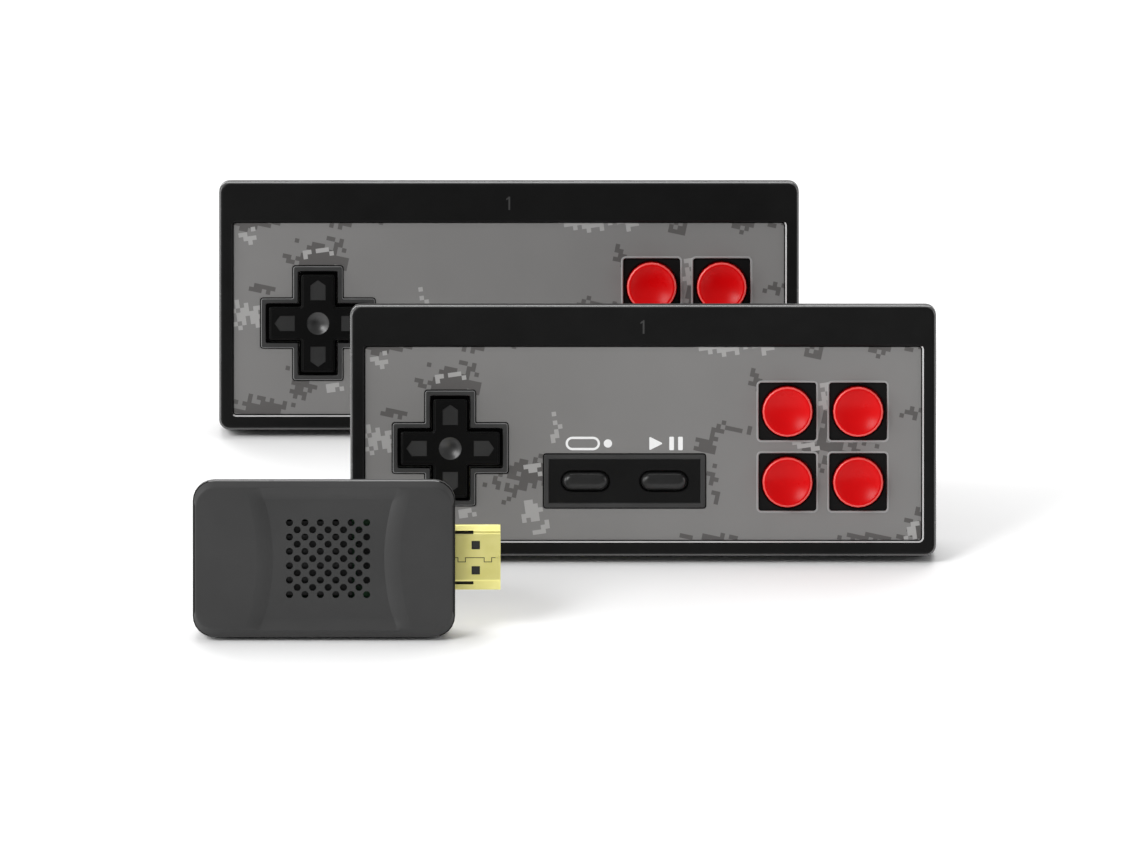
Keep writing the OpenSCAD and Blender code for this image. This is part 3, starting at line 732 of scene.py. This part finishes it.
def front_shell_mesh():
    """Front case half: rim, sunk window, collar of the direction pad, menu block, holes and screw posts."""
    inner = rect(CASE[0] - 2 * CASE_WALL, CASE[1] - 2 * CASE_WALL, 1)
    outside = path((0.35, SPLIT_Z), (0, SPLIT_Z + 0.35), (0, RIM_Z, 0.9), (1.3, RIM_Z), steps=6)
    window = path((-0.7, RIM_Z), (-0.32, RIM_Z), (0, RIM_Z - 0.3), (0, FLOOR_Z))
    block = path((0, FLOOR_Z), (0, BLOCK_Z, 0.2), (0.9, BLOCK_Z, 0.12), (1.05, PANEL_Z, 0.1), (1.4, PANEL_Z))
    post_z, thread_z = 8.8, 13.8
    collar_outer = path((0, FLOOR_Z), (0, COLLAR_Z, 0.2), (0.35, COLLAR_Z))
    collar_inner = path((-0.35, COLLAR_Z), (0, COLLAR_Z, 0.2), (0, INNER_Z))
    loops = [
        (rect(*CASE, CASE_CORNER), outside),
        (rect(*WINDOW, 0.8, WINDOW_AT), window),
        (inner, path((0, INNER_Z), (0, SPLIT_Z))),
        (cross(*COLLAR_OUTSIDE, 0.5, 0.3, DPAD_AT), collar_outer),
        (cross(*COLLAR_INSIDE, 0.4, 0.3, DPAD_AT), collar_inner),
        (rect(*BLOCK, 0.5, BLOCK_AT), block),
    ]
    for at in pill_spots():
        hole = rect(PILL[0] + 0.5, PILL[1] + 0.5, 2.2, at)
        loops.append((hole, path((-0.4, PANEL_Z), (0, PANEL_Z, 0.25), (0, INNER_Z))))
    for at in action_spots():
        loops.append((circle(ACTION_R + 0.25, at), path((-0.4, FLOOR_Z), (0, FLOOR_Z, 0.2), (0, INNER_Z))))
    for at in SCREWS:
        loops.append((circle(2.6, at), path((0, INNER_Z), (0, post_z))))
        loops.append((circle(1.05, at), path((0, post_z), (0, thread_z))))
    mesh = solid("front_shell", loops)
    paint(mesh, COLLAR_SLOT, lambda c, n: PANEL_Z + 0.01 < c.z < RIM_Z and (in_collar(c) or in_block(c)))
    # Painted highlights: the case's rounded edge, the window's lower and right chamfer and the collar's outer
    # wall.
    paint(mesh, EDGE_SLOT, on_case_edge)
    paint(mesh, WINDOW_HIGHLIGHT_SLOT, on_window_highlight)
    paint(mesh, WALL_SLOT, on_collar_edge)
    return mesh


def back_block():
    """Loop round the outside of the rear case half."""
    seam, lean_in = 0.35, SPLIT_Z * DRAFT
    profile = path((seam, SPLIT_Z), (seam * DRAFT, SPLIT_Z - seam), (lean_in, 0, 1.2), (lean_in + 2, 0),
                   steps=6)
    return rect(*CASE, CASE_CORNER), profile, 0.75


def bay_box(half_width, y_range, z_range, r=0.0):
    """Block that is centred on the battery bay."""
    low, high = zip(y_range, z_range)
    return box_mesh((BAY_X - half_width, *low), (BAY_X + half_width, *high), r)


def back_shell_mesh():
    """Rear case half: floor, walls, screw posts and their wells, switch recess, and the battery bay."""
    drop = (SPLIT_Z - BACK_FLOOR_Z) * DRAFT
    inner = rect(CASE[0] - 2 * CASE_WALL, CASE[1] - 2 * CASE_WALL, 1.5)
    switch_z, well_z, post_z = 0.8, 4.4, 8.75
    loops = [
        back_block(),
        (inner, path((0, SPLIT_Z), (drop, BACK_FLOOR_Z)), 0.8),
        (rect(12, 6.4, 0.8, SWITCH_AT), path((-0.4, 0), (0, 0, 0.2), (0, switch_z))),
        (rect(7.6, 3.4, 0.3, SWITCH_AT), path((0, switch_z), (0, BACK_FLOOR_Z))),
    ]
    for at in SCREWS:
        loops.append((circle(2.7, at), path((-0.5, 0), (0, 0, 0.3), (0, well_z))))
        loops.append((circle(1.3, at), path((0, well_z), (0, post_z))))
        loops.append((circle(3.6, at), path((0, post_z), (0, BACK_FLOOR_Z))))
    shell = solid("back_shell", loops)
    walls = bay_box(25.8, (-0.2, 24.5), (1, 13.6))
    room = bay_box(24.6, (1, 22.9), (BACK_FLOOR_Z, 12.6), 0.4)
    mouth = bay_box(23.5, (1.5, 22.3), (-1, 3), 0.6)
    seat = bay_box(25, (-0.2, 40), (-1, 1.4))
    groove = bay_box(26.1, (-0.2, 40), (0.6, 1.41))
    return boolean(boolean(shell, "UNION", walls), "DIFFERENCE", room, mouth, seat, groove)


def grip_line(length, width, flare, at):
    """Cutter for a shallow groove with round ends, in an item's back."""
    profile = path((-flare, -0.1), (0.1, 0.4, 0.15), (0.4, 0.4))
    return solid("grip_line", [(rect(length, width, width / 2, at), profile)])


def battery_door_mesh():
    """Sliding door, cut from the case's own outside so that its upper end carries the case's edge on."""
    case = solid("battery_door", [back_block()])
    plate = bay_box(24.85, (0, 40), (-1, 1.3), 0.3)
    tongues = bay_box(25.9, (0, 22), (0.7, 1.3))
    grips = [grip_line(16, 1, 0.25, (BAY_X, 6 + 2.2 * i)) for i in range(5)]
    arrow_corners = [(BAY_X - 3, 18, 0.2), (BAY_X + 3, 18, 0.2), (BAY_X, 21, 0.3)]
    arrow = solid("arrow", [(arrow_corners, path((0, -1), (0, 0.4)))])
    door = boolean(boolean(plate, "UNION", tongues), "INTERSECT", case)
    return boolean(door, "DIFFERENCE", *grips, arrow)


def faceplate_mesh():
    """Printed plate with its cut-outs. Each square cut-out has a fine raised edge, on which a highlight is painted
    in light grey.
    """
    edge_z = PLATE_Z + 0.1
    outside = path((0, FLOOR_Z), (0, PLATE_Z, 0.12), (0.4, PLATE_Z))
    rounded = path((-0.4, PLATE_Z), (0, PLATE_Z, 0.15), (0, FLOOR_Z))
    raised = path((-0.7, PLATE_Z), (-0.45, PLATE_Z, 0.1), (-0.35, edge_z, 0.08), (0, edge_z, 0.15),
                  (0, FLOOR_Z))
    collar_hole = cross(COLLAR_OUTSIDE[0] + PLATE_GAP, COLLAR_OUTSIDE[1] + PLATE_GAP, 0.6, 0.3, DPAD_AT)
    loops = [
        (rect(WINDOW[0] - PLATE_GAP, WINDOW[1] - PLATE_GAP, 0.6, WINDOW_AT), outside),
        (collar_hole, rounded),
        (rect(BLOCK[0] + PLATE_GAP, BLOCK[1] + PLATE_GAP, 0.6, BLOCK_AT), rounded),
    ]
    for at in action_spots():
        loops.append((rect(SQUARE, SQUARE, 0.6, at), raised))
    mesh = solid("faceplate", loops)
    paint(mesh, 1, lambda c, n: c.z > PLATE_Z + 0.02)
    return mesh


def dpad_mesh():
    """Direction pad: stepped cross with four sunk arrows and a hollow in its middle. The hollow is painted a
    lighter grey than the pad, as a sheen.
    """
    arrow = [(-1.7, -2.2, 0.15), (1.7, -2.2, 0.15), (1.7, 1.1, 0.15), (0, 2.3, 0.2), (-1.7, 1.1, 0.15)]
    arrow_out, hollow_r, hollow_depth = 7.2, 2.35, 0.8
    flange_z, step_z, top_z, arrow_z = (12.6, 13.5), 18.7, DPAD_TOP_Z, DPAD_TOP_Z - 0.12
    side = path((0, flange_z[1]), (0, step_z, 0.2), (0.32, step_z, 0.05), (0.42, top_z, 0.1), (0.7, top_z))
    hollow = [(-0.25, top_z), (-0.1, top_z - 0.01), *dish(hollow_r, hollow_depth, top_z - 0.03)]
    loops = [
        (cross(23, 8, 0.3, 0.3, DPAD_AT), path((0, flange_z[0]), (0, flange_z[1]))),
        (cross(DPAD_SPAN, DPAD_ARM, 0.5, 0.4, DPAD_AT), side),
        (circle(hollow_r, DPAD_AT), hollow),
    ]
    for quarter in range(4):
        places = turned(moved(arrow, (0, arrow_out)), quarter)
        corners = [(p.x + DPAD_AT[0], p.y + DPAD_AT[1], r) for p, r in places]
        loops.append((corners, path((-0.1, top_z), (0, top_z, 0.04), (0.06, arrow_z))))
    mesh = solid("dpad", loops)
    middle = Vector(DPAD_AT)
    paint(mesh, 1, lambda c, n: abs(c.z - arrow_z) < 0.02 and (c.xy - middle).length > 3)
    # Painted sheen in the hollow.
    paint(mesh, 2, lambda c, n: 18 < c.z < top_z - 0.02 and (c.xy - middle).length < hollow_r)
    return mesh


def action_button_mesh(at):
    """Button cap with a flange, a rounded rim and a dished top. A highlight is painted in light red round the
    rim's top.
    """
    (low_z, high_z), top_z = FLANGE_Z, ACTION_TOP_Z
    flange, rim_in, dish_depth = 1, 1.95, 1.1
    rim = path((0, low_z), (0, high_z), (flange, high_z), (flange, top_z, 0.42), (1.75, top_z, 0.2),
               (rim_in, top_z - 0.12), steps=5)
    slope = dish(ACTION_R + flange - rim_in, dish_depth, top_z - 0.14, steps=12)
    hollow = [(rim_in + inset * 0.98, z) for inset, z in slope]
    mesh = solid("action_button", [(circle(ACTION_R + flange, at), rim + hollow)])
    paint(mesh, 1, lambda c, n: c.z > top_z - 0.2 and ACTION_R - 0.45 < (c.xy - Vector(at)).length)
    return mesh


def menu_button_mesh(at):
    """Pill-shaped rubber key with a domed top, its flange and its stem."""
    (low_z, high_z), top_z, flange = FLANGE_Z, PILL_TOP_Z, 0.85
    key = path((0, low_z), (0, high_z), (flange, high_z), (flange, top_z, 1.5), (2.75, top_z), steps=8)
    foot = rect(PILL[0] + 2 * flange, PILL[1] + 2 * flange, PILL[1] / 2 + flange, at)
    return solid("menu_button", [(foot, key), (circle(1.5, at), path((0, low_z), (0, 12.8)))])


NUMERAL = [
    (-0.12, -1.45, 0.05), (0.26, -1.45, 0.05), (0.26, 1.45, 0.05), (0, 1.45, 0.05), (-0.6, 1.0, 0.05),
    (-0.6, 0.66, 0.05), (-0.12, 0.92, 0.02),
]
PILL_LINE = [rect(7.4, 2.9, 1.45), rect(6.4, 1.9, 0.95)]
TRIANGLE = [(-3.6, -1.5, 0.2), (-0.6, 0, 0.2), (-3.6, 1.5, 0.2)]
BARS = [rect(1, 2.9, 0.2, (1.2, 0)), rect(1, 2.9, 0.2, (3.1, 0))]

# Printed marks: name, shapes, height, place and ink.
MARKS = [
    ("numeral", [NUMERAL], RIM_Z, (0, 22.3), grey_ink),
    ("select_mark", [*PILL_LINE, circle(0.9, (5.4, 0))], PLATE_Z, (-13, -2.8), white_ink),
    ("start_mark", [TRIANGLE, *BARS], PLATE_Z, (4.9, -2.8), white_ink),
]


def flat_mark(name, shapes, z, at):
    """Printed mark: thin solids in the surface at height z. A shape inside another is a hole in it."""
    ink = path((0, z - 0.02), (0, z + 0.02))
    return solid(name, [(moved(shape, at), ink) for shape in shapes])


def pad_piece(pad, node, mesh, body, materials, edge=0.0):
    """Piece of a controller in place of its CAD node."""
    piece(f"{pad}_{node}_v", mesh, pad, f"{pad}_{body}", materials, [f"{pad}_{node}"], edge)


def build_pad(pad):
    """All the remodelled pieces and the printed marks of one controller."""
    shell_looks = [black_plastic, collar_plastic, case_edge_highlight, collar_wall_highlight, window_line_highlight]
    pad_piece(pad, "front_shell", front_shell_mesh(), "case", shell_looks)
    pad_piece(pad, "back_shell", back_shell_mesh(), "case", [black_plastic])
    pad_piece(pad, "faceplate", faceplate_mesh(), "case", [plate_print, square_rim_highlight])
    pad_piece(pad, "battery_door", battery_door_mesh(), "battery_door_body", [black_plastic], edge=0.1)
    pad_piece(pad, "dpad", dpad_mesh(), "dpad_body", [dpad_plastic, arrow_plastic, dimple_sheen])
    for name, at in zip(ACTION_NAMES, action_spots()):
        pad_piece(pad, name, action_button_mesh(at), name + "_body", [red_gloss, red_rim_highlight])
    for name, at in zip(("select_button", "start_button"), pill_spots()):
        pad_piece(pad, name, menu_button_mesh(at), name + "_body", [pill_rubber])
    for name, shapes, z, at, ink in MARKS:
        piece(f"{pad}_{name}", flat_mark(name, shapes, z, at), pad, pad + "_case", [ink])


# ---------- stick ----------

def waist_row(y):
    """Points (x, z) of the waist cutter's underside, across the stick at y."""
    steps, clear = 10, 0.02
    bulge = WAIST_R - math.sqrt(WAIST_R ** 2 - y * y)
    fade = min(1, (WAIST_REACH - abs(y)) / WAIST_FADE)
    fade = fade * fade * (3 - 2 * fade)
    row = []
    for side in (-1, 1):
        for k in range(steps + 1):
            x = side * (WAIST_HALF + bulge + WAIST_SLOPE * k / steps)
            share = (1 - k / steps) ** 2.4 * fade
            row.append((WAIST_X + x, STICK_TOP_Z + clear - (WAIST_DEPTH + clear) * share))
    return sorted(row)


def waist_cutter():
    """Volume over the sunk middle of the stick's face. Its underside is flat between two arcs, rises outside
    them, steeply at first, and fades out towards the long edges."""
    rows, top = 48, 15
    bm = bmesh.new()
    low, high = [], []
    for i in range(rows + 1):
        y = WAIST_REACH * (2 * i / rows - 1)
        row = waist_row(y)
        low.append([bm.verts.new((x * MM, y * MM, z * MM)) for x, z in row])
        high.append([bm.verts.new((x * MM, y * MM, top * MM)) for x, z in row])
    for sheet in (low, high):
        for a, b in zip(sheet, sheet[1:]):
            for i in range(len(a) - 1):
                bm.faces.new((a[i], a[i + 1], b[i + 1], b[i]))
    for end in (0, -1):
        for i in range(rows):
            bm.faces.new((low[i][end], low[i + 1][end], high[i + 1][end], high[i][end]))
        for i in range(len(low[0]) - 1):
            bm.faces.new((low[end][i], low[end][i + 1], high[end][i + 1], high[end][i]))
    return finish_mesh(bm, "waist")


def vent_spots():
    """Six by six vents with five by five between them."""
    pitch = (3.3, 3.08)
    return [(WAIST_X - 0.1 + (column - 2.5 + row % 2 / 2) * pitch[0], (row - 5) * pitch[1] / 2)
            for row in range(11) for column in range(6 - row % 2)]


def end_openings():
    """Blocks that clear the plug, the power port and the card at the stick's two ends."""
    half = STICK[0] / 2
    return [
        box_mesh((half - 10, -7.2, PLUG_Z - 2.45), (half + 1, 7.2, PLUG_Z + 2.45)),
        box_mesh((-half - 1, 2, 6.9), (-half + 5, 10, 9.9)),
        box_mesh((-half - 1, -12.3, 7.3), (-half + 5, -0.7, 8.8)),
    ]


def stick_ring(cut_x, cut_y):
    """Corners of the stick's outline, cut back unevenly in its two directions."""
    r = STICK_CORNER - min(cut_x, cut_y) * 0.6
    return rect(STICK[0] - 2 * cut_x, STICK[1] - 2 * cut_y, r)


def cover_block():
    """Front cover before its cuts: hollow, its upper edges cut back further on the long sides."""
    edge, top = STICK_EDGE_Z, STICK_TOP_Z
    levels = [
        (0.3, 0.3, STICK_SPLIT_Z), (0, 0, STICK_SPLIT_Z + 0.3), (0, 0, edge - 0.4), (0.03, 0.04, edge - 0.2),
        (0.1, 0.12, edge), (0.2, 0.24, edge + 0.14), (0.32, 0.4, edge + 0.22), (0.5, 1.32, top - 0.15),
        (0.6, 1.55, top - 0.05), (0.84, 1.85, top),
    ]
    inner = rect(STICK[0] - 2 * STICK_WALL, STICK[1] - 2 * STICK_WALL, STICK_CORNER - STICK_WALL)
    bm = bmesh.new()
    outside = [new_ring(bm, outline(stick_ring(x, y), 0), z) for x, y, z in levels]
    inside = [new_ring(bm, outline(inner, 0), z) for z in (STICK_TOP_Z - STICK_WALL, STICK_SPLIT_Z)]
    join_rings(bm, outside)
    join_rings(bm, inside)
    return close_up(bm, "stick_top_cover")


def on_rounding(c, n):
    """True on the tight rounding below the stick's slanted upper edge."""
    return STICK_EDGE_Z - 0.15 < c.z < STICK_EDGE_Z + 0.2 and n.z < 0.8


def on_dark_end(c, n):
    """True on the ends of the stick's face: their steep faces and the rounding round them. Shade is painted on
    them in near black.
    """
    steep = c.z > STICK_EDGE_Z and abs(n.y) < 0.02 and n.z < 0.5
    return steep or on_rounding(c, n) and abs(n.x) > 0.35 * abs(n.y)


def on_light_edge(c, n):
    """True on the rounding along the stick's upper edge, where a highlight is painted in lighter grey."""
    return on_rounding(c, n) and abs(n.x) < 0.35 * n.y


def stick_top_mesh():
    """Front cover: block with its sunk waist, vents and end openings, with painted shade on its ends and a painted
    highlight along its upper edge.
    """
    floor_z = STICK_TOP_Z - WAIST_DEPTH
    hole = path((-0.16, floor_z + 0.22), (0, floor_z - 0.02), (0, 10))
    vents = solid("vents", [(circle(0.75, at), hole) for at in vent_spots()])
    cover = boolean(cover_block(), "DIFFERENCE", waist_cutter(), vents, *end_openings())
    crease(cover, floor_z)
    paint(cover, 1, on_dark_end)
    paint(cover, 2, on_light_edge)
    return cover


def stick_bottom_mesh():
    """Drafted rear cover with grip lines across its back."""
    seam, wall = 0.3, STICK_WALL
    drop, inner_drop = STICK_SPLIT_Z * DRAFT, (STICK_SPLIT_Z - wall) * DRAFT
    outside = path((seam, STICK_SPLIT_Z), (seam * DRAFT, STICK_SPLIT_Z - seam), (drop, 0, 1),
                   (drop + wall, 0), steps=6)
    inner = rect(STICK[0] - 2 * wall, STICK[1] - 2 * wall, STICK_CORNER - wall)
    shell = solid("stick_bottom_cover", [
        (rect(*STICK, STICK_CORNER), outside, 0.3),
        (inner, path((0, STICK_SPLIT_Z), (inner_drop, wall)), 0.4),
    ])
    lines = [grip_line(26, 1.2, 0.3, (0, 3 * i)) for i in range(-2, 3)]
    return boolean(shell, "DIFFERENCE", *lines, *end_openings())


def plug_corners(inset=0.0):
    """Section of the video plug, looking along it. Its flanks towards the front are cut off."""
    w, h = PLUG_HALF[0] - inset, PLUG_HALF[1] - inset
    step, flank = 0.3 - inset / 3, 4.9 - inset / 3
    return [(-w, -h, 0.4), (w, -h, 0.4), (w, step, 0.5), (flank, h, 0.7), (-flank, h, 0.7), (-w, step, 0.5)]


def along_x(mesh, x, z):
    """Turns a solid built along Z so that it runs along X from x, at height z."""
    mesh.transform(Matrix(((0, 0, 1, x * MM), (1, 0, 0, 0), (0, 1, 0, z * MM), (0, 0, 0, 1))))
    return mesh


def seam_cutters():
    """Thin cutters for the plug's folded seam, which steps round two dovetails."""
    half, drop = 0.08, 0.9
    low_z, high_z = PLUG_Z + 1, PLUG_Z + 3
    body = STICK[0] / 2
    steps = [body + x for x in (-1, 0.6, 2.2, 6.2, 7.8, PLUG_OUT + 1)]
    cutters = []
    for i in range(len(steps) - 1):
        y = -drop * (i % 2)
        cutters.append(box_mesh((steps[i] - half, y - half, low_z), (steps[i + 1] + half, y + half, high_z)))
    for x in steps[1:-1]:
        cutters.append(box_mesh((x - half, -drop, low_z), (x + half, 0, high_z)))
    return cutters


def plug_shell_mesh():
    """Folded gold shell: thin wall, rounded mouth, latch windows, side slots, a groove and a seam."""
    start, body, skin = 17.4, STICK[0] / 2, 0.35
    length = body + PLUG_OUT - start
    above = 14
    wall = solid("plug", [
        (plug_corners(), path((0, 0), (0, length, 0.14), (0.17, length), steps=5)),
        (plug_corners(skin), path((0, 0), (0, length, 0.14), (-0.17, length), steps=5)),
    ])
    cutters = []
    for side in (-1, 1):
        window_y, window_half = side * 2.7, 0.9
        cutters.append(box_mesh((body + 3.5, window_y - window_half, 0),
                                (body + 5.3, window_y + window_half, above), 0.12))
        slot = sorted((side * 5.05, side * 5.75))
        cutters.append(box_mesh((body - 0.1, slot[0], PLUG_Z), (body + 3.9, slot[1], above)))
    cutters.append(box_mesh((body + 3.8, 5.3, PLUG_Z + 1.5), (body + PLUG_OUT + 1, 5.6, above)))
    return boolean(along_x(wall, start, PLUG_Z), "DIFFERENCE", *cutters, *seam_cutters())


def stick_piece(name, node, mesh, materials):
    """Piece of the stick in place of its CAD node."""
    piece(name, mesh, "stick", "stick_case", materials, [node])


def build_stick():
    """The remodelled pieces of the stick."""
    stick_piece("stick_top_cover_v", "stick_top_cover", stick_top_mesh(),
                [stick_plastic, stick_end_shade, stick_top_edge_highlight])
    stick_piece("stick_bottom_cover_v", "stick_bottom_cover", stick_bottom_mesh(), [stick_plastic])
    stick_piece("stick_video_plug_v", "stick_video_plug_shell", plug_shell_mesh(), [gold])


# ---------- CAD nodes that stay ----------

def dress_cad_nodes():
    """Material for every CAD node, and softened edges for those whose shape takes them."""
    sharp = ("battery_contacts", "battery_cells", "circuit_board")
    for name, obj in frame["nodes"].items():
        obj.data.materials.clear()
        obj.data.materials.append(CAD_MATERIALS[frame_slot(name)])
        weld = obj.modifiers.new("weld", "WELD")
        weld.merge_threshold = MERGE
        if not name.endswith(sharp):
            soften(obj, 0.12)
        weigh_normals(obj)


# ---------- studio, in metres ----------

# Name, place, width and power of each light.
LIGHTS = [
    ("key", (-1.6, -1.5, 1.8), 1.1, 40),
    ("back", (0.2, 1.5, 2.4), 2.2, 60),
    ("left", (-2.4, -0.5, 0.8), 1.2, 20),
    ("right", (2.4, -0.3, 0.8), 1.2, 10),
    ("rear", (-1.2, 2.4, 0.9), 1.4, 24),
]
LIT_POINT = (0, 0, 0.02)
FLOOR_HALF = 4
FLOOR_GREY = 0.975
SKY_STRENGTH = 0.32


def white_floor():
    """Plain floor under the set."""
    half = FLOOR_HALF
    mesh = bpy.data.meshes.new("floor")
    corners = [(-half, -half, 0), (half, -half, 0), (half, half, 0), (-half, half, 0)]
    mesh.from_pydata(corners, [], [(0, 1, 2, 3)])
    floor = new_object("floor", mesh)
    material, *_, shader = new_material("floor_white")
    shader.inputs["Base Color"].default_value = (FLOOR_GREY, FLOOR_GREY, FLOOR_GREY, 1)
    shader.inputs["Roughness"].default_value = 0.9
    shader.inputs["Specular IOR Level"].default_value = 0.1
    mesh.materials.append(material)


def area_light(name, at, size, power):
    """Square soft light, aimed at the set."""
    data = bpy.data.lights.new(name, "AREA")
    data.shape = "SQUARE"
    data.size = size
    data.energy = power
    light = new_object(name, data)
    light.location = at
    light.rotation_euler = (Vector(LIT_POINT) - Vector(at)).to_track_quat("-Z", "Y").to_euler()


def studio():
    """White floor, an even sky, and soft light that is strongest from the upper left and from behind."""
    white_floor()
    world = bpy.data.worlds.new("world")
    world.use_nodes = True
    background = world.node_tree.nodes["Background"]
    background.inputs["Color"].default_value = (1, 1, 1, 1)
    background.inputs["Strength"].default_value = SKY_STRENGTH
    bpy.context.scene.world = world
    for light in LIGHTS:
        area_light(*light)


def camera():
    """Long lens, straight ahead and 18 degrees up, on a point left of the front controller's middle."""
    elevation = math.radians(18)
    lens, clip_end = 1200, 40
    frame_width, aim_right, aim_up = 245.1, -15.75, 0.67
    back = Vector((0, -math.cos(elevation), math.sin(elevation)))
    sight_up = Vector((0, math.sin(elevation), math.cos(elevation)))
    face = PLACES["front_pad"] @ Vector((0, 0, RIM_Z * MM))
    aim = face + Vector((aim_right * MM, 0, 0)) + sight_up * aim_up * MM
    data = bpy.data.cameras.new("camera")
    data.lens = lens
    data.clip_end = clip_end
    cam = new_object("camera", data)
    cam.location = aim + back * (lens / data.sensor_width * frame_width * MM)
    cam.rotation_euler = (-back).to_track_quat("-Z", "Y").to_euler()
    bpy.context.scene.camera = cam


for pad_name in PADS:
    build_pad(pad_name)
build_stick()
dress_cad_nodes()
studio()
camera()
bpy.context.scene.view_settings.view_transform = "Standard"
